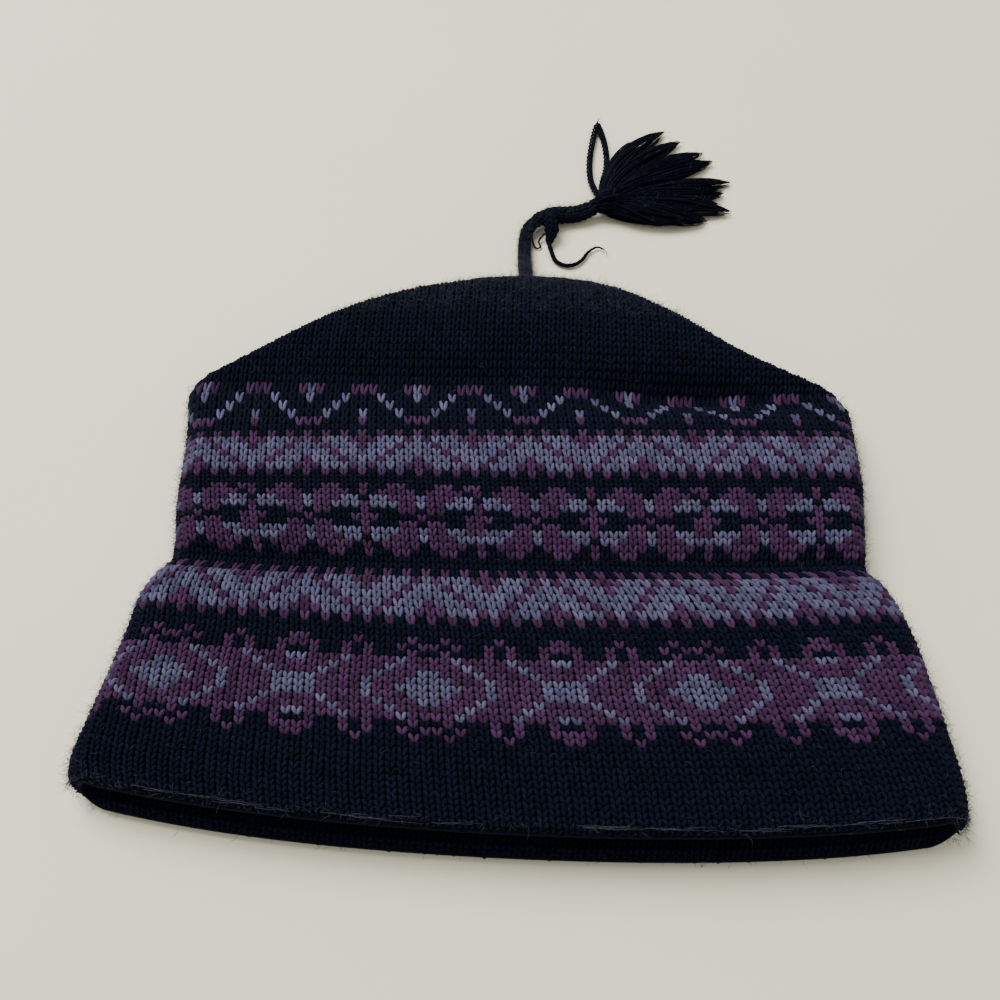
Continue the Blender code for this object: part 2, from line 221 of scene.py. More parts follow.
def wool(name, deep, pale, sheen):
    """One yarn's material, from its deep and its pale shade."""
    finish = Finish(name)
    place = finish.place()
    fibre = finish.noise(place, FIBRE_SCALE, 3.0, 0.65)
    heather = finish.noise(place, HEATHER_SCALE, 2.0)
    lint = finish.noise(place, LINT_SCALE, 2.0, 0.7)
    stitch = finish.attribute("shade")
    share = FIBRE_SHARE * fibre + HEATHER_SHARE * heather + STITCH_SHARE * stitch - DEEPER
    finish.set(
        Base_Color=finish.mix(share, (*deep, 1.0), (*pale, 1.0)),
        Roughness=0.92,
        Specular_IOR_Level=0.09,
        Sheen_Weight=sheen,
        Sheen_Roughness=0.45,
        Sheen_Tint=HAZE_TINT,
        Normal=finish.bump(0.55 * fibre + 0.45 * lint, BUMP_STRENGTH, BUMP_HEIGHT),
    )
    return finish.material


navy_wool = wool("navy_wool", (0.0004, 0.0008, 0.0044), (0.0030, 0.0050, 0.0160), 0.0)
plum_wool = wool("plum_wool", (0.0165, 0.0042, 0.0200), (0.0730, 0.0280, 0.0780), 0.03)
slate_wool = wool("slate_wool", (0.0280, 0.0255, 0.0540), (0.1180, 0.1090, 0.1850), 0.04)
print("wool finishes", navy_wool.name, plum_wool.name, slate_wool.name)

# %% [markdown]
# ## The shape of the hat
# The hat is a soft tube that lies flat: round edges, a flat underside, a puffed upper layer, a crease
# below the crown, and a crown that narrows to the cord. The table below says how wide and how high it
# is at each course, and a smooth curve through its rows gives the rest. These are the same numbers as
# in the solid model, so the stitches lie where its walls are.

# %% Sizes of the hat
HAT_LENGTH = 0.229
BRIM_WIDTH = 0.272
PUFF_HEIGHT = 0.026
HEM_DEPTH = 0.045
KNIT_WALL = 0.003
FIT_GAP = 0.0003
RIM_STEP = 0.004
RIM_CORNER = 0.0035
TOP_STEPS = 24
CORNER_STEPS = 4
BED_STEPS = 12
RING = TOP_STEPS + 2 * CORNER_STEPS + BED_STEPS
EDGE_LEVEL = 0.40
EDGE_FULLNESS = 0.76
CORNER_RATIO = 1.15
CORNER_LIMIT = 0.7
STEP_FADE = 0.16
PLEATS = 11
PLEAT_DEPTH = 0.10
PLEAT_START = 0.945

Section = namedtuple("Section", "along left right height lift bend skew")
SECTIONS = [
    Section(0.000, 0.988, 0.990, 0.800, 0.000, 0.032, -0.004),
    Section(0.025, 0.996, 0.997, 0.806, 0.000, 0.032, -0.003),
    Section(0.050, 1.000, 1.000, 0.810, 0.000, 0.032, 0.000),
    Section(0.125, 0.987, 0.991, 0.800, 0.000, 0.030, 0.006),
    Section(0.200, 0.967, 0.975, 0.790, 0.000, 0.029, 0.009),
    Section(0.275, 0.949, 0.955, 0.780, 0.000, 0.028, 0.010),
    Section(0.330, 0.938, 0.930, 0.770, 0.000, 0.026, 0.010),
    Section(0.365, 0.914, 0.904, 0.745, 0.000, 0.024, 0.010),
    Section(0.395, 0.884, 0.870, 0.715, 0.000, 0.022, 0.010),
    Section(0.430, 0.886, 0.876, 0.790, 0.000, 0.020, 0.011),
    Section(0.490, 0.901, 0.885, 0.860, 0.000, 0.016, 0.014),
    Section(0.555, 0.909, 0.897, 0.860, 0.000, 0.012, 0.018),
    Section(0.600, 0.914, 0.897, 0.840, 0.000, 0.009, 0.021),
    Section(0.650, 0.924, 0.898, 0.790, 0.000, 0.004, 0.020),
    Section(0.700, 0.941, 0.902, 0.710, 0.000, 0.001, 0.013),
    Section(0.723, 0.949, 0.890, 0.700, 0.000, 0.000, 0.010),
    Section(0.750, 0.918, 0.852, 0.780, 0.000, 0.000, 0.006),
    Section(0.775, 0.845, 0.765, 0.860, 0.000, 0.000, 0.003),
    Section(0.800, 0.775, 0.680, 0.930, 0.000, 0.000, 0.001),
    Section(0.830, 0.700, 0.598, 0.980, 0.000, 0.000, 0.000),
    Section(0.865, 0.612, 0.522, 1.000, 0.000, 0.000, 0.000),
    Section(0.900, 0.510, 0.440, 0.980, 0.000, 0.000, 0.000),
    Section(0.930, 0.395, 0.362, 0.930, 0.015, 0.000, 0.000),
    Section(0.955, 0.275, 0.290, 0.840, 0.060, 0.000, 0.000),
    Section(0.975, 0.180, 0.212, 0.720, 0.130, 0.000, 0.000),
    Section(0.990, 0.092, 0.136, 0.580, 0.220, 0.000, 0.000),
    Section(1.000, 0.022, 0.030, 0.450, 0.320, 0.000, 0.000),
]
Dent = namedtuple("Dent", "along across long wide depth")
DENTS = [
    Dent(0.722, 0.52, 0.034, 0.30, 0.270),
    Dent(0.742, -0.30, 0.030, 0.45, 0.080),
    Dent(0.388, -0.75, 0.022, 0.35, 0.090),
    Dent(0.396, 0.80, 0.022, 0.35, 0.090),
    Dent(0.040, 0.10, 0.060, 0.70, 0.060),
    Dent(0.520, -0.45, 0.070, 0.30, -0.060),
    Dent(0.845, 0.10, 0.060, 0.45, -0.060),
    Dent(0.160, 0.62, 0.080, 0.25, -0.040),
]


# %% The outer surface of the hat
def column(name, share):
    """A column of SECTIONS at a share of the length, read from a smooth curve through its rows."""
    x = np.array([row.along for row in SECTIONS])
    y = np.array([getattr(row, name) for row in SECTIONS])
    slopes = np.gradient(y, x)
    rises = np.diff(y) / np.diff(x)
    flat = np.zeros(len(x), bool)
    flat[1:-1] = rises[:-1] * rises[1:] <= 0
    slopes[flat] = 0.0
    share = np.clip(share, 0.0, 1.0)
    i = np.clip(np.searchsorted(x, share) - 1, 0, len(x) - 2)
    step = x[i + 1] - x[i]
    t = (share - x[i]) / step
    return (
        y[i] * (1 + 2 * t) * (1 - t) ** 2
        + slopes[i] * step * t * (1 - t) ** 2
        + y[i + 1] * t**2 * (3 - 2 * t)
        + slopes[i + 1] * step * t**2 * (t - 1)
    )


def section(share):
    """Left and right half widths, lift, height, level of the edge, and both corner widths."""
    left = column("left", share) * BRIM_WIDTH / 2
    right = column("right", share) * BRIM_WIDTH / 2
    lift = column("lift", share) * PUFF_HEIGHT
    height = column("height", share) * PUFF_HEIGHT
    level = lift + EDGE_LEVEL * (height - lift)
    corner = CORNER_RATIO * (level - lift)
    corners = [np.minimum(corner, CORNER_LIMIT * side) for side in (left, right)]
    return left, right, lift, height, level, *corners


def hat_point(share, place):
    """A point of the outer surface: share is the course, place counts round it from the right edge."""
    share, place = np.broadcast_arrays(np.asarray(share, float), np.asarray(place, float) % RING)
    left, right, lift, height, level, corner_left, corner_right = section(share)

    # The upper layer is one arch from the right edge to the left one.
    over = np.cos(np.pi * np.clip(place, 0, TOP_STEPS) / TOP_STEPS)
    width = np.where(over > 0, right, left)
    corner = np.where(over > 0, corner_right, corner_left)
    x = over * width
    rise = np.clip(width * (1 - np.abs(over)) / corner, 0, 1)
    arch = np.sqrt(1 - (1 - rise) ** 2) * (EDGE_FULLNESS + (1 - EDGE_FULLNESS) * (1 - over**2))
    z = level + (height - level) * arch
    for dent in DENTS:
        fall = ((share - dent.along) / dent.long) ** 2 + ((over - dent.across) / dent.wide) ** 2
        z = z - dent.depth * PUFF_HEIGHT * np.exp(-fall) * arch

    # The lower layer is flat on the surface between two round corners.
    under = place > TOP_STEPS
    turn = place - TOP_STEPS
    edges = ((-1, left, corner_left, turn), (1, right, corner_right, RING - place))
    for side, width, corner, start in edges:
        angle = np.clip(start / CORNER_STEPS, 0, 1) * np.pi / 2
        near = under & (start <= CORNER_STEPS)
        x = np.where(near, side * (width - corner + corner * np.cos(angle)), x)
        z = np.where(near, level - (level - lift) * np.sin(angle), z)
    bed = np.clip((turn - CORNER_STEPS) / BED_STEPS, 0, 1)
    lying = under & (turn > CORNER_STEPS) & (turn < CORNER_STEPS + BED_STEPS)
    x = np.where(lying, -(left - corner_left) * (1 - bed) + (right - corner_right) * bed, x)
    z = np.where(lying, lift, z)

    # Gathers draw the tip in, and the courses bend and lean along the hat.
    drawn = np.clip((share - PLEAT_START) / (1 - PLEAT_START), 0, 1)
    pleat = 1 - PLEAT_DEPTH * drawn * (0.5 - 0.5 * np.cos(2 * np.pi * PLEATS * place / RING))
    middle = (lift + height) / 2
    x, z = x * pleat, middle + (z - middle) * pleat
    side = np.where(x > 0, x / right, x / left)
    y = (share - 0.5) * HAT_LENGTH
    y = y + (column("bend", share) * side**2 + column("skew", share) * side) * HAT_LENGTH
    near_rim = np.clip(1 - share / STEP_FADE, 0, 1) ** 2
    y = y + RIM_CORNER * side**4 * near_rim
    upper = np.clip((z - lift) / np.maximum(height - lift, 1e-6), 0, 1)
    y = y + RIM_STEP * upper * near_rim
    return np.stack([x, y, z], axis=-1)


def inward(share, place):
    """The direction from the outer surface into the hat."""
    step, turn = 0.001, 0.1
    further, nearer = np.minimum(share + step, 1.0), np.maximum(share - step, 0.0)
    along = hat_point(further, place) - hat_point(nearer, place)
    around = hat_point(share, place + turn) - hat_point(share, place - turn)
    return unit(np.cross(around, along))


shell_low, shell_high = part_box("knitted_shell")
print("packed shell", [round(v, 4) for v in (*shell_low, *shell_high)])

# %% [markdown]
# ## Wales and courses
# A knitter counts stitches across as wales and rows along as courses. 156 wales run round the hat. One
# of them, which carries the middle of the large motif, is measured in the picture, and the others lie
# at equal steps from it round each course. In the crown the wales run straight on at the same spacing
# and end where they meet its edge. A table of places, read at any wale and any distance, is quick.

# %% Where each wale runs
WALES = 156
KEY_WALE = 12
KEY_LINE = [
    # share of the hat's length, place across in metres
    (0.000, 0.0020),
    (0.125, -0.0015),
    (0.200, -0.0045),
    (0.275, -0.0060),
    (0.384, -0.0123),
    (0.530, -0.0163),
    (0.635, -0.0190),
    (0.723, -0.0210),
]
CROWN_START = 0.7227
RING_SAMPLES = 880
TABLE_SHARES = np.linspace(-0.01, 1.0, 405)
TABLE_STEP = 0.25
TABLE_WALES = np.arange(-2, WALES + 2 + TABLE_STEP / 2, TABLE_STEP)


def ring_lengths(share):
    """Places round one course and the length run at each, carried on for a turn either way."""
    place = np.linspace(0, RING, RING_SAMPLES + 1)
    points = hat_point(np.full(place.shape, share), place)
    run = np.concatenate([[0], np.cumsum(np.linalg.norm(np.diff(points, axis=0), axis=1))])
    full = run[-1]
    places = np.concatenate([place[:-1] - RING, place[:-1], place + RING])
    return places, np.concatenate([run[:-1] - full, run[:-1], run + full]), full


def wale_places(share):
    """The place of each wale of the table on one course of the tube."""
    places, run, full = ring_lengths(share)
    key_x = np.interp(share, *zip(*KEY_LINE))
    left = column("left", share) * BRIM_WIDTH / 2
    key_place = TOP_STEPS / np.pi * np.arccos(key_x / left)
    key_run = np.interp(key_place, places, run)
    wanted = key_run - (TABLE_WALES - KEY_WALE) * full / WALES
    wanted = np.mod(wanted + full / 2, full) - full / 2
    return np.interp(wanted, run, places)


def middle_places(share):
    """The places of the middle line of the upper and of the lower layer on one course."""
    left, right, _, _, _, corner_left, corner_right = section(share)
    reach_left, reach_right = left - corner_left, right - corner_right
    bed_share = reach_left / (reach_left + reach_right)
    return TOP_STEPS / 2, TOP_STEPS + CORNER_STEPS + BED_STEPS * bed_share


edge_places, edge_run, _ = ring_lengths(CROWN_START)
crown_first = np.mod(wale_places(CROWN_START), RING)
crown_upper = crown_first <= TOP_STEPS
crown_middles = np.interp(middle_places(CROWN_START), edge_places, edge_run)
crown_reach = np.interp(crown_first, edge_places, edge_run) - np.where(crown_upper, *crown_middles)


def crown_places(share):
    """The place of each wale in the crown, where it keeps its distance from the middle line."""
    places, run, _ = ring_lengths(share)
    middles = np.interp(middle_places(share), places, run)
    return np.interp(crown_reach + np.where(crown_upper, *middles), run, places)


place_table = np.array([
    np.mod(crown_places(share) if share > CROWN_START else wale_places(max(share, 0.0)), RING)
    for share in TABLE_SHARES
])
point_table = hat_point(TABLE_SHARES[:, None], place_table)
inward_table = inward(TABLE_SHARES[:, None], place_table)
print("surface table", point_table.shape, "widest wale", round(BRIM_WIDTH * 2 / WALES, 5))


def read_table(table, share, wale):
    """Reads a table of vectors between its rows and columns."""
    row = (np.asarray(share) - TABLE_SHARES[0]) / (TABLE_SHARES[1] - TABLE_SHARES[0])
    col = (np.asarray(wale) - TABLE_WALES[0]) / TABLE_STEP
    i = np.clip(np.floor(row).astype(int), 0, len(TABLE_SHARES) - 2)
    j = np.clip(np.floor(col).astype(int), 0, len(TABLE_WALES) - 2)
    s, t = (row - i)[..., None], (col - j)[..., None]
    low = table[i, j] * (1 - t) + table[i, j + 1] * t
    high = table[i + 1, j] * (1 - t) + table[i + 1, j + 1] * t
    return low * (1 - s) + high * s


# %% [markdown]
# ## From the outside round the fold into the mouth
# The hem is folded inwards, so the fabric runs down the outside, round the fold, and back up inside.
# One number, the run, says how far a point is along that way: from the rim upwards it is positive, on
# the fold it is negative, and further down it is on the facing inside the mouth.

# %% The way of the fabric
FOLD_RADIUS = KNIT_WALL + FIT_GAP / 2
FOLD_RUN = math.pi * FOLD_RADIUS


def folded(run, rise):
    """The distance from the rim and the depth below the outer surface, a rise above the fabric."""
    angle = np.clip(-run / FOLD_RADIUS, 0, math.pi)
    beyond = np.maximum(-run - FOLD_RUN, 0)
    distance = FOLD_RADIUS + np.maximum(run, 0) + beyond - (FOLD_RADIUS + rise) * np.sin(angle)
    return distance, FOLD_RADIUS - (FOLD_RADIUS + rise) * np.cos(angle)


def fabric_point(run, wale, rise):
    """A point on the fabric, a rise above its outer face."""
    distance, depth = folded(run, rise)
    share = distance / HAT_LENGTH
    wale = np.mod(wale, WALES)
    outside = read_table(point_table, share, wale)
    return outside + depth[..., None] * read_table(inward_table, share, wale)


BANDS = [
    # name, courses, share of the hat's length where it ends
    ("border", 11, 0.1245),
    ("medallions", 15, 0.2750),
    ("navy", 2, 0.2954),
    ("waves", 7, 0.3879),
    ("navy", 2, 0.4057),
    ("motifs", 11, 0.5228),
    ("navy", 2, 0.5391),
    ("waves", 7, 0.6359),
    ("navy", 1, 0.6483),
    ("flowers", 5, 0.7358),
    ("crown", 22, 1.0000),
]
FACING_PITCH = 0.00245  # from one course of the facing to the next
FACING_COURSES = round((FOLD_RUN + HEM_DEPTH - FOLD_RADIUS) / FACING_PITCH)
course_runs = [-FACING_PITCH * k for k in range(FACING_COURSES, 0, -1)] + [0.0]
course_bands = ["facing"] * FACING_COURSES
for name, courses, end in BANDS:
    start = course_runs[-1]
    stop = end * HAT_LENGTH - FOLD_RADIUS
    course_runs += [start + (stop - start) * (k + 1) / courses for k in range(courses)]
    course_bands += [name] * courses
course_runs = np.array(course_runs)
print("courses", len(course_bands), "of them on the facing and the fold", FACING_COURSES)


def course_run(course):
    """The run at a course number that may lie between two courses; the first is on the facing."""
    return np.interp(course, np.arange(len(course_runs)), course_runs)


# %% [markdown]
# ## The chart
# The pattern is a traditional stranded one, drawn as a knitter's chart from the top course of
# each band down. A dot is navy, P is plum and B is slate. The wide motifs repeat over 24 wales and the
# others over 12. As 156 isn't a whole number of wide repeats, the round begins and ends with a part of
# one, and that join lies under the hat.

# %% The chart of each band
MEDALLION_TOP = [
    "....P..P....P....PP....P",
    "P..P.PP.P..P.P..PPPP..P.",
    "P...P..P...P.P..P..P..P.",
    "PPPBPPPPBPPPPBPPPBBPPPBP",
    "PPBPPPPPPBPPPPBPPPPPPBPP",
    "PBPPPBBPPPBPPPPBPPPPBPPP",
    "BPPPBBBBPPPBPPPPBBBBPPPP",
    "BPPBBBBBBPPBPPPPBBBBPPPP",
]
CHART = {
    "flowers": [
        "PP...PBP...P",
        "..B...B...B.",
        "...B.....B..",
        "B...B...B...",
        "P....PPP....",
    ],
    "waves": [
        "P.P.P.P.P.P.",
        "BBBPPPBBBPBP",
        "PBBBPBBBPBBB",
        "BPBBBBBPBBBB",
        "BBPBBBPBBBPB",
        "BBBPBPBBBPPP",
        "P.P.P.P.P.P.",
    ],
    "motifs": [
        "P..PP...PP.PP..PP...PP..",
        "P.PPPP.PPPP.P.PPPP.PPPP.",
        ".BBPPPBPPPBB.BBPPPBPPPBB",
        "PBBBPPBPPBBBPBBBPPBPPBBB",
        "P...PP.PP...P...PP.PP...",
        "PP....P....PPP....P....P",
        "P...PP.PP..PP...PP.PP...",
        "PBBBPPBPPBBPPBBBPPBPPBBB",
        ".BBPPPBPPPBBBBBPPPBPPPBB",
        "P.PPPP.PPPP.P.PPPP.PPPP.",
        "P..PP...PP..P..PP...PP..",
    ],
    "medallions": MEDALLION_TOP + MEDALLION_TOP[-2::-1],
}
CHART_BREAK = 56  # how many wales before wale 0 the round begins
CHART_START = {"flowers": 12, "waves": 8, "motifs": 0, "medallions": 0}
for name, lines in CHART.items():
    assert len({len(line) for line in lines}) == 1, name
    print(name, len(lines), "courses over", len(lines[0]), "wales")


def yarn_of(course, wale):
    """The yarn of a stitch: a dot, P or B."""
    band = course_bands[course]
    if band not in CHART:
        return "."
    lines = CHART[band]
    first = course
    while course_bands[first - 1] == band:
        first -= 1
    line = lines[len(lines) - 1 - (course - first)]
    counted = (wale + CHART_BREAK) % WALES - CHART_BREAK
    return line[(counted - CHART_START[band]) % len(line)]


# %% [markdown]
# ## One leg of a stitch
# In stocking stitch each stitch shows as a V: two plump legs that start together at the bottom, lean
# outwards, and dive under the next stitch. A leg starts as a ball of six by four faces, and a leg
# that is hardly seen as one of three by three. It is stretched and bent when each copy is laid.

# %% Model the leg
def grain(name, segments, rings):
    """A coarse ball along Z from -1 to 1, turned so that a flat side faces outwards."""
    leave_all()
    bpy.ops.mesh.primitive_uv_sphere_add(segments=segments, ring_count=rings, radius=1.0)
    made = bpy.context.object
    made.name = name
    half_step = {"value": math.pi / segments, "orient_axis": "Z", "center_override": (0, 0, 0)}
    edit_all(made, (bpy.ops.transform.rotate, half_step))
    return made


def shape_of(made):
    """Points and faces of a small model, and the model itself put away."""
    points = np.array([v.co[:] for v in made.data.vertices])
    faces = [tuple(f.vertices) for f in made.data.polygons]
    bpy.data.objects.remove(made, do_unlink=True)
    return points, faces


LEG_FINE = shape_of(grain("leg_fine", 6, 4))
LEG_PLAIN = shape_of(grain("leg_plain", 3, 3))
print("fine leg", len(LEG_FINE[1]), "faces, plain leg", len(LEG_PLAIN[1]), "faces")

# %% [markdown]
# ## Laying copies of the leg along the courses
# A leg's own path is given in wales across, courses along and metres of rise. Copies of it are placed
# in one go, each a little different in size, slant and rise, and joined into one mesh. The attribute
# named shade holds one number for each stitch, which the wool finish turns into a slight difference of
# dye.

# %% Lay the stitches
LEG_PATH = [
    # share of the leg, wales from the middle, courses up, metres of rise
    (0.00, 0.05, -0.46, -0.00120),
    (0.15, 0.10, -0.18, -0.00080),
    (0.50, 0.24, 0.36, -0.00045),
    (0.85, 0.35, 0.88, -0.00080),
    (1.00, 0.37, 1.14, -0.00125),
]
LEG_HALF_WIDTH = 0.212  # in wales
LEG_HALF_THICK = 0.00078
LEG_LEAN = 0.10  # in courses, how far a leg's outer side is pulled down
SWELL_SPREAD = 0.05
SLANT_SPREAD = 0.025
SHIFT_SPREAD = 0.025
LIFT_SPREAD = 0.00008
BOTH_SIDES = np.array([-1.0, 1.0])[None, :, None]


def leg_way(points):
    """Where each point of a leg lies on its path: its share, wales across, courses up and rise."""
    marks, across, up, rise = np.array(LEG_PATH).T
    share = (points[:, 2] + 1) / 2
    return share, *(np.interp(share, marks, part) for part in (across, up, rise))


def laid_legs(shape, courses, wales):
    """Points of both legs of each stitch, the faces of one leg, and the number of legs."""
    points, faces = shape
    count = len(courses)
    share, across, up, rise = leg_way(points)
    swell = 1 + random.normal(0, SWELL_SPREAD, (count, 2, 1))
    slant = random.normal(0, SLANT_SPREAD, (count, 2, 1))
    lift = random.normal(0, LIFT_SPREAD, (count, 2, 1))
    shift = random.normal(0, SHIFT_SPREAD, (count, 1, 1))
    wale = wales[:, None, None] + shift
    wale = wale + BOTH_SIDES * (across + LEG_HALF_WIDTH * swell * points[:, 0])
    wale = wale + slant * (share - 0.5)
    course = courses[:, None, None] + up - LEG_LEAN * points[:, 0] * swell
    height = rise + lift + LEG_HALF_THICK * swell * points[:, 1]
    placed = fabric_point(course_run(course), wale, height)
    return placed.reshape(-1, 3), faces, count * 2


def joined(name, points, faces, copies, shade):
    """One mesh of many copies, each with the same faces. shade holds a number for each copy."""
    size = len(points) // copies
    corners = np.array([corner for face in faces for corner in face])
    lengths = np.array([len(face) for face in faces])
    loops = (np.arange(copies)[:, None] * size + corners[None, :]).ravel()
    totals = np.tile(lengths, copies)
    mesh = bpy.data.meshes.new(name)
    mesh.vertices.add(len(points))
    mesh.vertices.foreach_set("co", np.ascontiguousarray(points, dtype=np.float32).ravel())
    mesh.loops.add(len(loops))
    mesh.loops.foreach_set("vertex_index", loops.astype(np.int32))
    mesh.polygons.add(len(totals))
    mesh.polygons.foreach_set("loop_start", (np.cumsum(totals) - totals).astype(np.int32))
    mesh.update(calc_edges=True)
    mesh.validate()
    mesh.shade_smooth()
    field = mesh.attributes.new("shade", "FLOAT", "POINT")
    field.data.foreach_set("value", np.repeat(shade, size).astype(np.float32))
    made = bpy.data.objects.new(name, mesh)
    bpy.context.scene.collection.objects.link(made)
    return made


def outward_faces(made):
    """Turns every face outwards, as the second leg of each stitch is the first one mirrored."""
    edit_all(made, (bpy.ops.mesh.normals_make_consistent, {"inside": False}))


# %% Which stitches there are
EDGE_SEEN = 0.6  # share of the round edge that shows
FOLD_COURSES = 5
DYE_SPREAD = 0.22


def table_column(wale):
    """The column of the tables at a wale."""
    return int(round((wale - TABLE_WALES[0]) / TABLE_STEP))


def table_place(course, wale):
    """The share of the length and the place round the hat of a stitch's middle."""
    share = (course_run(course + 0.5) + FOLD_RADIUS) / HAT_LENGTH
    row = int(np.argmin(np.abs(TABLE_SHARES - share)))
    return share, place_table[row, table_column(wale)]


def crown_cut(course, wale):
    """Whether the crown's edge has cut this stitch off."""
    share, place = table_place(course, wale)
    return share > CROWN_START and crown_upper[table_column(wale)] != (place <= TOP_STEPS)


def is_upper(course, wale):
    """Whether a stitch lies on the upper layer or the round edges, where it is seen."""
    edge = CORNER_STEPS * EDGE_SEEN
    place = table_place(course, wale)[1]
    return place <= TOP_STEPS + edge or place >= RING - edge


stitches = {}
for course, band in enumerate(course_bands):
    for wale in range(WALES):
        if crown_cut(course, wale):
            continue
        yarn = yarn_of(course, wale)
        if band == "facing":
            group = "facing" if course < FACING_COURSES - FOLD_COURSES else "fold"
        elif not is_upper(course, wale):
            group = "under"
        else:
            group = band if band in ("border", "crown") else "bands"
        stitches.setdefault((group, yarn), []).append((course, wale))
for key, found in sorted(stitches.items()):
    print("stitches", key, len(found))

# %% Make the knitted pieces
YARNS = {".": ("navy", navy_wool), "P": ("plum", plum_wool), "B": ("slate", slate_wool)}
for (group, yarn), found in sorted(stitches.items()):
    word, finish = YARNS[yarn]
    fine = group not in ("under", "facing")
    courses, wales = np.array(found, float).T
    placed, faces, copies = laid_legs(LEG_FINE if fine else LEG_PLAIN, courses, wales)
    shade = np.repeat(np.clip(random.normal(0.5, DYE_SPREAD, len(found)), 0, 1), 2)
    knit = joined(f"knit_{group}_{word}", placed, faces, copies, shade)
    outward_faces(knit)
    if group == "facing":
        hand_in(knit, finish, "navy_wool", "hem_facing")
    else:
        hand_in(knit, finish, "patterned_wool", "knitted_shell")

# %% [markdown]
# ## The fabric behind the stitches
# Between the legs of the stitches one sees the fabric's dark inside. A grid is rolled up to the shape
# of the hat just below the legs, closed along its seam, and given its thickness by a Solidify
# modifier.

# %% The wall behind the stitches
BACK_DEPTH = 0.0012
BACK_THICK = 0.0012
BACK_ROUND = 108
BACK_INSIDE = 6
BACK_FOLD = 7
BACK_OUTSIDE = 60
back_runs = np.concatenate([
    np.linspace(course_runs[0], -FOLD_RUN, BACK_INSIDE),
    np.linspace(-FOLD_RUN, 0, BACK_FOLD)[1:],
    np.linspace(0, HAT_LENGTH - FOLD_RADIUS, BACK_OUTSIDE)[1:],
    [HAT_LENGTH - FOLD_RADIUS],
])
last = len(back_runs) - 1
leave_all()
bpy.ops.mesh.primitive_grid_add(x_subdivisions=BACK_ROUND, y_subdivisions=last, size=1.0)
back = bpy.context.object
back.name = "knit_back"
flat = np.array([v.co[:] for v in back.data.vertices])
column_index = np.rint((flat[:, 0] + 0.5) * BACK_ROUND).astype(int) % BACK_ROUND
row_index = np.rint((flat[:, 1] + 0.5) * last).astype(int)
distance, depth = folded(back_runs[row_index], -BACK_DEPTH)
back_places = column_index * (RING / BACK_ROUND)
rolled = hat_point(distance / HAT_LENGTH, back_places)
rolled = rolled + depth[:, None] * inward(distance / HAT_LENGTH, back_places)
rolled[row_index == last] = rolled[row_index == last - 1].mean(axis=0)
back.data.vertices.foreach_set("co", rolled.astype(np.float32).ravel())
edit_all(
    back,
    (bpy.ops.mesh.remove_doubles, {"threshold": 0.00005}),
    (bpy.ops.mesh.normals_make_consistent, {"inside": False}),
)
wall = back.modifiers.new("wall", "SOLIDIFY")
wall.thickness = BACK_THICK
wall.offset = -1.0
pick(back)
bpy.ops.object.modifier_apply(modifier="wall")
back.data.shade_smooth()
hand_in(back, navy_wool, "patterned_wool", "knitted_shell")


# %% [markdown]
# ## Cords and yarns
# The cord is a narrow tube of the same knitting round one line. The loose yarn end and the yarn loop
# are strands that wind round a line of their own. A strand is a bevelled curve that is converted to a
# mesh, and the lines keep close to those of the solid model.

# %% Lines and strands
SMOOTH_STEPS = 24  # steps from one point of a route to the next


def smooth_line(points, spacing):
    """Points at about equal spacing along a smooth curve through a route's own points."""
    known = np.array(points)
    padded = np.vstack([2 * known[0] - known[1], known, 2 * known[-1] - known[-2]])
    dense = []
    for i in range(1, len(padded) - 2):
        a, b, c, d = padded[i - 1:i + 3]
        for t in np.linspace(0, 1, SMOOTH_STEPS, endpoint=False):
            bow = (2 * a - 5 * b + 4 * c - d) * t**2 + (3 * b - a - 3 * c + d) * t**3
            dense.append(0.5 * (2 * b + (c - a) * t + bow))
    dense = np.array(dense + [padded[-2]])
    run = np.concatenate([[0], np.cumsum(np.linalg.norm(np.diff(dense, axis=0), axis=1))])
    count = max(4, round(run[-1] / spacing) + 1)
    marks = np.linspace(0, run[-1], count)
    line = np.stack([np.interp(marks, run, dense[:, k]) for k in range(3)], axis=1)
    return line, marks


def frames_along(line):
    """A sideways and an upward direction at each point of a line that lies on the ground."""
    along = unit(np.gradient(line, axis=0))
    side = unit(np.cross(along, (0.0, 0.0, 1.0)))
    return side, np.cross(side, along)


def yarn_bundle(name, lines, thick, sides):
    """One mesh of many strands. Each line is its points and the share of its thickness at each."""
    curve = bpy.data.curves.new(name, "CURVE")
    curve.dimensions = "3D"
    curve.bevel_depth = thick / 2
    curve.bevel_resolution = sides
    curve.use_fill_caps = True
    for line, girth in lines:
        spline = curve.splines.new("POLY")
        spline.points.add(len(line) - 1)
        spline.points.foreach_set("co", np.hstack([line, np.ones((len(line), 1))]).ravel())
        spline.points.foreach_set("radius", np.broadcast_to(girth, len(line)).astype(float))
    made = bpy.data.objects.new(name, curve)
    bpy.context.scene.collection.objects.link(made)
    pick(made)
    bpy.ops.object.convert(target="MESH")
    made = bpy.context.object
    made.data.shade_smooth()
    leave_all()
    return made


def twist(line, marks, reach, lead, count, taper=((0.0, 1.0), (1.0, 1.0))):
    """Strands that wind round a line, one turn on each lead of its length."""
    side, up = frames_along(line)
    girth = np.interp(marks / marks[-1], *zip(*taper))
    strands = []
    for k in range(count):
        turn = 2 * math.pi * (marks / lead + k / count)
        swing = side * (np.cos(turn) * reach * girth)[:, None]
        swing = swing + up * (np.sin(turn) * reach * girth)[:, None]
        strands.append((line + swing, girth))
    return strands


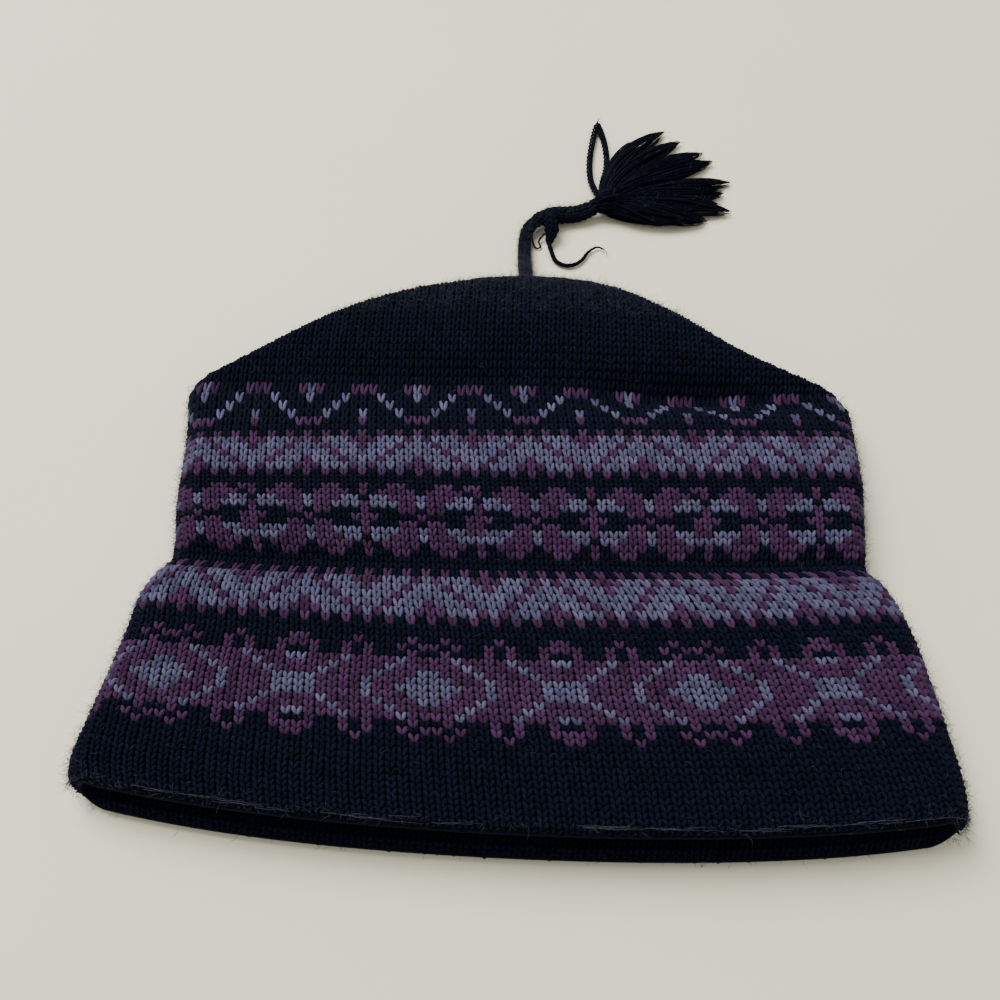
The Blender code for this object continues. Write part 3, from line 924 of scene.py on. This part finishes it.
# %% The yarn that rounds the rim
# Where the knitting turns in at the rim, one strand lies in the notches between the stitches, so that
# the rim's outline is smooth.
RIM_YARN_THICK = 0.0019
RIM_YARN_RISE = -0.0003
rim_wales = np.linspace(0, WALES, 2 * WALES + 1)
rim_points = fabric_point(0 * rim_wales - FOLD_RUN / 2, rim_wales, 0 * rim_wales + RIM_YARN_RISE)
rim_yarn = yarn_bundle("rim_yarn", [(rim_points, 1.0)], RIM_YARN_THICK, 1)
hand_in(rim_yarn, navy_wool, "patterned_wool")

# %% The cord from the crown through the knot to the tassel
CORD_DIAMETER = 0.0056
CORD_ROUTE = [
    (-0.0014, 0.1112, 0.0104),
    (-0.0015, 0.1153, 0.0101),
    (-0.0017, 0.1200, 0.0092),
    (-0.0020, 0.1260, 0.0060),
    (-0.0024, 0.1320, 0.0036),
    (-0.0026, 0.1395, 0.0030),
    (-0.0025, 0.1467, 0.0034),
    (-0.0010, 0.1530, 0.0040),
    (0.0032, 0.1578, 0.0046),
    (0.0078, 0.1616, 0.0046),
    (0.0120, 0.1630, 0.0042),
    (0.0165, 0.1640, 0.0036),
    (0.0215, 0.1650, 0.0038),
    (0.0277, 0.1665, 0.0057),
]
CORD_WALES = 5
CORD_PITCH = 0.0025  # from one course of the cord to the next
CORD_LEG_RISE = 0.75  # share of the fabric's own rise that the thinner yarn has
CORD_LEG_WIDTH = 1.15 * LEG_HALF_WIDTH
CORD_LEG_THICK = 0.9 * LEG_HALF_THICK
# The cord's stitches take their tone from the darker part of the range, so the cord is darker on the whole
# than the hat.
CORD_TONE_RANGE = (0.0, 0.45)
CORE_SHARE = 0.82  # of the cord's diameter, the core that closes the gaps between its legs


def around_line(line, marks, mark, turn, radius):
    """A point at a distance from a line, at a mark along it and a turn round it."""
    middle, side, up = [
        np.stack([np.interp(mark, marks, part[:, k]) for k in range(3)], axis=-1)
        for part in (line, *frames_along(line))
    ]
    swing = np.cos(turn)[..., None] * side + np.sin(turn)[..., None] * up
    return middle + radius[..., None] * swing


def knitted_cord(name, line, marks, diameter):
    """The same stitch legs as on the hat, laid round a narrow tube that can change its width."""
    points, faces = LEG_FINE
    grid = np.mgrid[0:int(marks[-1] / CORD_PITCH), 0:CORD_WALES].astype(float)
    course, wale = [part.ravel()[:, None, None] for part in grid]
    _, across, up, rise = leg_way(points)
    across = wale + BOTH_SIDES * (across + CORD_LEG_WIDTH * points[:, 0])
    up = (course + up) * CORD_PITCH + 0 * across
    rise = rise + CORD_LEG_THICK * points[:, 1]
    radius = np.interp(up, marks, np.broadcast_to(diameter, len(marks))) / 2 + CORD_LEG_RISE * rise
    turn = 2 * math.pi * across / CORD_WALES
    placed = around_line(line, marks, np.clip(up, 0, marks[-1]), turn, radius)
    shade = np.repeat(random.uniform(*CORD_TONE_RANGE, len(course)), 2)
    made = joined(name, placed.reshape(-1, 3), faces, len(course) * 2, shade)
    outward_faces(made)
    return made


cord_line, cord_marks = smooth_line(CORD_ROUTE, 0.0009)
cord = knitted_cord("knitted_cord", cord_line, cord_marks, CORD_DIAMETER)
cord_core = yarn_bundle("cord_core", [(cord_line, 1.0)], CORD_DIAMETER * CORE_SHARE, 3)
pick(cord, cord_core)
bpy.ops.object.join()
leave_all()
hand_in(cord, navy_wool, "navy_wool", "crown_cord", "tassel_cord")
print("cord length", round(float(cord_marks[-1]), 4))

# %% The loose yarn end and the yarn loop
YARN_ROUTE = [
    (0.0074, 0.1474, 0.0031),
    (0.0094, 0.1405, 0.0014),
    (0.0112, 0.1360, 0.0012),
    (0.0150, 0.1336, 0.0012),
    (0.0192, 0.1342, 0.0012),
    (0.0225, 0.1372, 0.0012),
    (0.0252, 0.1420, 0.0012),
    (0.0290, 0.1452, 0.0012),
    (0.0320, 0.1440, 0.0012),
]
YARN_TAPER = [(0.0, 1.0), (0.5, 0.9), (0.75, 0.7), (0.88, 0.48), (1.0, 0.30)]
YARN_PLY = 0.00135
YARN_TIP = [
    (0.0318, 0.1441, 0.0012),
    (0.0330, 0.1430, 0.0010),
    (0.0334, 0.1412, 0.0009),
    (0.0326, 0.1398, 0.0008),
]
yarn_line, yarn_marks = smooth_line(YARN_ROUTE, 0.0006)
yarn_strands = twist(yarn_line, yarn_marks, 0.00044, 0.0070, 3, YARN_TAPER)
yarn = yarn_bundle("loose_yarn_end", yarn_strands, YARN_PLY, 1)
hand_in(yarn, navy_wool, "navy_wool", "yarn_end")

LOOP_ROUTE = [
    (0.0304, 0.1722, 0.0052),
    (0.0284, 0.1785, 0.0038),
    (0.0268, 0.1860, 0.0024),
    (0.0261, 0.1950, 0.0018),
    (0.0266, 0.2060, 0.0018),
    (0.0280, 0.2170, 0.0018),
    (0.0292, 0.2240, 0.0017),
    (0.0303, 0.2276, 0.0016),
    (0.0315, 0.2240, 0.0017),
    (0.0332, 0.2155, 0.0018),
    (0.0341, 0.2060, 0.0018),
    (0.0340, 0.1975, 0.0020),
    (0.0328, 0.1895, 0.0034),
    (0.0318, 0.1840, 0.0048),
]
LOOP_PLY = 0.00095
LOOP_TIP = [
    (0.0303, 0.2278, 0.0012),
    (0.0306, 0.2310, 0.0014),
    (0.0314, 0.2338, 0.0012),
    (0.0322, 0.2350, 0.0010),
]
loop_line, loop_marks = smooth_line(LOOP_ROUTE, 0.0007)
loop_strands = twist(loop_line, loop_marks, 0.00108, 0.0130, 5)
loop = yarn_bundle("yarn_loop_strands", loop_strands, LOOP_PLY, 1)
hand_in(loop, navy_wool, "navy_wool", "yarn_loop")

TIP_THICK = 0.0009
tips = []
for route, first in ((YARN_TIP, 0.45), (LOOP_TIP, 1.0)):
    tip_line, _ = smooth_line(route, 0.0005)
    tips.append((tip_line, np.linspace(first, 0.12, len(tip_line))))
hand_in(yarn_bundle("yarn_tips", tips, TIP_THICK, 1), navy_wool, "navy_wool")
print("yarn end", round(float(yarn_marks[-1]), 4), "yarn loop", round(float(loop_marks[-1]), 4))

# %% [markdown]
# ## The knot
# Where the cord bends over, its own doubled-back end lies beside it and hangs down as a plump lump that
# narrows into the loose yarn. So the knot is a short tube of the same knitting with a changing width,
# two turns of yarn that hold it, and a small slack loop of thread.

# %% Tie the knot
TAIL_ROUTE = [
    (0.0285, 0.1645, 0.0050),
    (0.0217, 0.1614, 0.0036),
    (0.0160, 0.1602, 0.0036),
    (0.0113, 0.1590, 0.0046),
    (0.0084, 0.1572, 0.0062),
    (0.0087, 0.1544, 0.0058),
    (0.0091, 0.1512, 0.0046),
    (0.0084, 0.1478, 0.0032),
    (0.0078, 0.1450, 0.0022),
]
TAIL_WIDTHS = [
    # share of the tail, its diameter
    (0.00, 0.0040),
    (0.40, 0.0044),
    (0.62, 0.0060),
    (0.80, 0.0066),
    (0.90, 0.0046),
    (1.00, 0.0026),
]
HOLD_MARK = (0.0490, 0.0525)  # stretch of the cord that the holding turns cover
HOLD_TURNS = 2.0
HOLD_FIRST = 0.4
HOLD_POINTS = 60
HOLD_THICK = 0.0012
THREAD_THICK = 0.0008
THREAD_ROUTE = [
    (0.0004, 0.1510, 0.0030),
    (0.0010, 0.1470, 0.0012),
    (0.0026, 0.1440, 0.0008),
    (0.0044, 0.1450, 0.0008),
    (0.0036, 0.1480, 0.0012),
    (0.0060, 0.1510, 0.0030),
]
tail_line, tail_marks = smooth_line(TAIL_ROUTE, 0.0006)
tail_widths = np.interp(tail_marks / tail_marks[-1], *zip(*TAIL_WIDTHS))
knot = knitted_cord("cord_knot_strands", tail_line, tail_marks, tail_widths)
hold_marks = np.linspace(*HOLD_MARK, HOLD_POINTS)
hold_turn = HOLD_FIRST + np.linspace(0, 2 * math.pi * HOLD_TURNS, HOLD_POINTS)
hold_reach = np.full(HOLD_POINTS, CORD_DIAMETER / 2 - 0.0001)
hold_line = around_line(cord_line, cord_marks, hold_marks, hold_turn, hold_reach)
thread_line, _ = smooth_line(THREAD_ROUTE, 0.0007)
core_lines = [(tail_line, tail_widths / CORD_DIAMETER)]
knot_parts = [
    knot,
    yarn_bundle("tail_core", core_lines, CORD_DIAMETER * CORE_SHARE, 3),
    yarn_bundle("knot_turns", [(hold_line, 1.0)], HOLD_THICK, 1),
    yarn_bundle("knot_thread", [(thread_line, 1.0)], THREAD_THICK, 1),
]
pick(*knot_parts)
bpy.ops.object.join()
leave_all()
hand_in(knot, navy_wool, "navy_wool", "cord_knot")

# %% [markdown]
# ## The tassel
# Cut yarns are tied to the cord's end and fall apart into locks. Each lock is a bundle of fine strands
# that leave the head side by side and draw together to a point. The locks follow the solid ones.

# %% Comb the locks
TASSEL_CENTRE = (0.0345, 0.1678)
TASSEL_LENGTH = 0.060
TASSEL_HEAD = 0.0135
LOCK_WIDTH = 0.0100
LOCK_FLATNESS = 0.62
STRANDS = 56
STRAND_THICK = 0.00095
STRAND_ENDS = (0.86, 1.0)  # where strands are cut, as shares of their lock
STRAND_TURN = (0.6, 0.3)  # middle and spread of a strand's turn over half a lock, in radians
STRAND_STRAY = 0.00009
STRAND_VARIETY = (0.8, 1.15)
LOCK_DROP = 0.75  # share of its level that a lock loses towards its tip
NECK = (0.0277, 0.1665, 0.0057)
NECK_STRANDS = 70
NECK_WIDTHS = [(-0.25, 0.0024), (0.1, 0.0031), (0.8, 0.0056), (1.35, 0.0062)]
Lock = namedtuple("Lock", "turn reach bow girth level")
LOCKS = [
    Lock(76.0, 0.84, 0.030, 0.85, 0.34),
    Lock(64.0, 1.05, 0.110, 0.95, 0.44),
    Lock(55.0, 1.01, 0.090, 0.90, 0.62),
    Lock(43.0, 1.03, 0.070, 1.00, 0.46),
    Lock(35.5, 1.01, 0.050, 1.00, 0.66),
    Lock(21.0, 1.01, 0.030, 0.90, 0.44),
    Lock(14.0, 0.92, 0.010, 1.00, 0.64),
    Lock(2.0, 0.92, 0.010, 1.00, 0.50),
    Lock(-6.0, 0.74, -0.030, 1.10, 0.40),
    Lock(-14.0, 0.46, 0.000, 1.10, 0.36),
]
LOCK_GIRTHS = [(0.00, 0.85), (0.15, 1.10), (0.45, 1.22), (0.70, 1.10), (0.88, 0.70), (1.00, 0.26)]


def lock_strands(lock):
    """The strands of one lock, from inside the head to the lock's tip."""
    along = np.array([math.cos(math.radians(lock.turn)), math.sin(math.radians(lock.turn)), 0.0])
    left = np.array([-along[1], along[0], 0.0])
    strands = []
    for _ in range(STRANDS):
        end = random.uniform(*STRAND_ENDS)
        share = np.linspace(0, end, 11)
        angle, radius = random.uniform(0, 2 * math.pi), math.sqrt(random.uniform(0, 1))
        angles = angle + random.normal(*STRAND_TURN) * share * 2
        wide = np.interp(share, *zip(*LOCK_GIRTHS)) * lock.girth * LOCK_WIDTH / 2
        high = wide * LOCK_FLATNESS
        swing = lock.bow * TASSEL_LENGTH * np.sin(np.pi * share**0.8)
        middle = np.maximum(lock.level * LOCK_WIDTH * (1 - LOCK_DROP * share), high + FIT_GAP)
        stray = np.cumsum(random.normal(0, STRAND_STRAY, len(share)))
        sideways = swing + (wide - 0.0003) * radius * np.cos(angles) + stray
        line = np.array([*TASSEL_CENTRE, 0.0]) + along * (share * lock.reach * TASSEL_LENGTH)[:, None]
        line = line + left * sideways[:, None]
        line[:, 2] = np.maximum(middle + high * radius * np.sin(angles), STRAND_THICK * 0.5)
        girth = np.interp(share / end, (0, 0.6, 0.9, 1), (1.0, 1.0, 0.7, 0.3))
        strands.append((line, girth * random.uniform(*STRAND_VARIETY)))
    return strands


strands = [strand for lock in LOCKS for strand in lock_strands(lock)]
neck = np.array(NECK)
core = np.array([*TASSEL_CENTRE, TASSEL_HEAD / 2 - 0.0006])
ahead = unit(core - neck)
beside = np.cross(ahead, (0, 0, 1))
above = np.cross(beside, ahead)
share = np.linspace(NECK_WIDTHS[0][0], NECK_WIDTHS[-1][0], 9)
for _ in range(NECK_STRANDS):
    angle, radius = random.uniform(0, 2 * math.pi), math.sqrt(random.uniform(0, 1))
    wide = (np.interp(share, *zip(*NECK_WIDTHS)) * radius)[:, None]
    line = neck + (core - neck) * share[:, None]
    line = line + wide * (beside * math.cos(angle) + above * math.sin(angle))
    line[:, 2] = np.maximum(line[:, 2], STRAND_THICK * 0.5)
    strands.append((line, np.full(len(share), 1.0)))
tassel = yarn_bundle("tassel_strands", strands, STRAND_THICK, 0)
hand_in(tassel, navy_wool, "navy_wool", "tassel")

# %% [markdown]
# ## The haze of loose fibres
# Wool never has a clean outline: fine fibres stand off it everywhere, thickest along the edges. Each
# one here is a slim three-sided sliver with one bend, all in one mesh. They are too fine to see one by
# one, so together they soften the outline as in the photograph. A few long pale ones lie along the
# fold of the upper rim, where the light catches them.

# %% Grow the fibres
haze_finish = Finish("fibre_haze")
haze_tone = haze_finish.noise(haze_finish.place(), 300.0)
haze_finish.set(
    Base_Color=haze_finish.mix(haze_tone, (0.006, 0.009, 0.022, 1.0), (0.040, 0.045, 0.075, 1.0)),
    Roughness=0.9,
)
SLIVER_FACES = [(0, 1, 2), (0, 2, 3), (0, 3, 1), (1, 4, 2), (2, 4, 3), (3, 4, 1)]
FIBRE_THICK = 0.00011
FIBRE_LEAN = (0.15, 0.9)
FIBRE_BEND = 0.45
LENGTH_SHAPE = 3.0
ROOT_DEPTH = 0.0004


def fibres(name, roots, outs, scale, shortest, longest):
    """Slim fibres, bent in the middle, that grow from the roots more or less outwards."""
    count = len(roots)
    half = random.gamma(LENGTH_SHAPE, scale, (count, 1)).clip(shortest, longest) / 2
    wander = random.normal(0, 1, (count, 3))
    flat = unit(wander - outs * (wander * outs).sum(axis=1, keepdims=True))
    first = unit(flat + outs * random.uniform(*FIBRE_LEAN, (count, 1)))
    turned = unit(first + random.normal(0, FIBRE_BEND, (count, 3)))
    middle = roots + first * half
    beside = unit(np.cross(first, outs))
    above = np.cross(beside, first)
    turns = (0, 2 * math.pi / 3, 4 * math.pi / 3)
    ring = [middle + FIBRE_THICK / 2 * (math.cos(turn) * beside + math.sin(turn) * above) for turn in turns]
    points = np.stack([roots, *ring, middle + turned * half], axis=1)
    points[..., 2] = np.maximum(points[..., 2], 0.0001)
    made = joined(name, points.reshape(-1, 3), SLIVER_FACES, count, np.full(count, 0.5))
    outward_faces(made)
    return made


def surface_roots(count, share_span, place_span):
    """Random points on the hat's skin with their outward directions."""
    share = random.uniform(*share_span, count)
    place = np.mod(random.uniform(*place_span, count), RING)
    inner = inward(share, place)
    return hat_point(share, place) + inner * ROOT_DEPTH, -inner


SKIN = [
    # fibres, span of the hat's length, span of places round it
    (2600, (0.005, 0.98), (-1.5, 25.5)),
    (700, (0.0, 0.012), (0.0, RING)),
    (4300, (0.0, 0.98), (-1.4, 1.4)),
    (4500, (0.0, 0.98), (22.6, 25.4)),
    (4800, (0.86, 0.998), (0.0, 24.0)),
]
roots, outs = [np.concatenate(part) for part in zip(*[surface_roots(*patch) for patch in SKIN])]
hat_haze = fibres("fibre_haze_hat", roots, outs, 0.00095, 0.0008, 0.0070)
hand_in(hat_haze, haze_finish.material, "patterned_wool")

# %% Grow fibres on the cord, the tassel and the thin yarns
CORD_FIBRES = 3600
TASSEL_FIBRES = 4000
THIN_FIBRES = 500
cord_turn = random.uniform(0, 2 * math.pi, CORD_FIBRES)
cord_at = random.uniform(0, cord_marks[-1], CORD_FIBRES)
cord_reach = np.full(CORD_FIBRES, CORD_DIAMETER / 2 - ROOT_DEPTH)
cord_roots = around_line(cord_line, cord_marks, cord_at, cord_turn, cord_reach)
cord_outs = unit(cord_roots - around_line(cord_line, cord_marks, cord_at, cord_turn, 0 * cord_reach))
tassel_points = np.concatenate([line[3:] for line, girth in strands])
tassel_roots = tassel_points[random.integers(0, len(tassel_points), TASSEL_FIBRES)]
tassel_outs = random.normal(0, 1, (TASSEL_FIBRES, 3))
tassel_outs[:, 2] = 0.1 + np.abs(tassel_outs[:, 2]) / 2
thin_points = np.concatenate([loop_line, yarn_line, tail_line])
thin_roots = thin_points[random.integers(0, len(thin_points), THIN_FIBRES)]
thin_roots = thin_roots + random.normal(0, ROOT_DEPTH, (THIN_FIBRES, 3))
thin_outs = random.normal(0, 1, (THIN_FIBRES, 3))
trim_roots = np.concatenate([cord_roots, tassel_roots, thin_roots])
trim_outs = np.concatenate([cord_outs, unit(tassel_outs), unit(thin_outs)])
trim_haze = fibres("fibre_haze_trim", trim_roots, trim_outs, 0.00075, 0.0006, 0.0055)
hand_in(trim_haze, haze_finish.material, "navy_wool")

# %% Pale fibres along the rim, a painted highlight
# Painted highlight: these rim fibres are coloured much paler than the navy wool, for the light caught along
# the fold of the upper rim.
rim_highlight_finish = Finish("painted_highlight_fibre")
pale_tone = rim_highlight_finish.noise(rim_highlight_finish.place(), 500.0)
rim_highlight_finish.set(
    Base_Color=rim_highlight_finish.mix(pale_tone, (0.02, 0.023, 0.036, 1.0), (0.08, 0.085, 0.11, 1.0)),
    Roughness=0.8,
)
PALE_FIBRES = 60
PALE_THICK = 0.00009
PALE_PLACES = (-20, 56)  # in wales
PALE_LENGTHS = (1.5, 4.0)  # in wales
pale_lines = []
for _ in range(PALE_FIBRES):
    first = random.uniform(*PALE_PLACES)
    steps = np.linspace(0, random.uniform(*PALE_LENGTHS), 9)
    runs = -0.0016 + random.normal(0, 0.0005) + np.cumsum(random.normal(0, 0.00012, 9))
    rises = 0.0001 + np.abs(np.cumsum(random.normal(0, 0.0001, 9)))
    pale_lines.append((fabric_point(runs, first + steps, rises), np.linspace(1.0, 0.4, 9)))
pale = yarn_bundle("rim_fibres_painted_highlight", pale_lines, PALE_THICK, 0)
hand_in(pale, rim_highlight_finish.material, "patterned_wool")

# %% [markdown]
# ## The floor and the light
# The hat lies on a plain pale counter under soft light from behind on the left. A large plane is the
# counter, and a large area light, with a weak even sky, casts soft shadows to the lower right.

# %% Counter
counter_finish = Finish("pale_counter")
counter_place = counter_finish.place()
speck = counter_finish.noise(counter_place, 900.0, 2.0) ** 6.0
cloud = counter_finish.noise(counter_place, 12.0, 2.0)
counter_share = 0.5 * cloud + 1.5 * speck
counter_finish.set(
    Base_Color=counter_finish.mix(counter_share, (0.800, 0.755, 0.545, 1.0), (0.730, 0.685, 0.485, 1.0)),
    Roughness=0.62,
)
leave_all()
bpy.ops.mesh.primitive_plane_add(size=3.0, location=(0.0, 0.0, -0.0002))
counter = bpy.context.object
counter.name = "counter"
counter.data.materials.append(counter_finish.material)
leave_all()


# %% Lights
def soft_light(name, place, target, size, watts, colour):
    """A round area light that shines on a target."""
    data = bpy.data.lights.new(name, "AREA")
    data.shape = "DISK"
    data.size = size
    data.energy = watts
    data.color = colour
    made = bpy.data.objects.new(name, data)
    made.location = place
    made.rotation_euler = (Vector(target) - Vector(place)).to_track_quat("-Z", "Y").to_euler()
    bpy.context.scene.collection.objects.link(made)


soft_light("window_light", (-0.95, 0.95, 1.9), (0.0, 0.0, 0.0), 1.6, 86.0, (0.99, 0.99, 1.0))
sky = bpy.data.worlds.new("soft_sky")
sky.use_nodes = True
sky.node_tree.nodes["Background"].inputs["Color"].default_value = (0.95, 0.97, 1.0, 1.0)
sky.node_tree.nodes["Background"].inputs["Strength"].default_value = 0.75
bpy.context.scene.world = sky
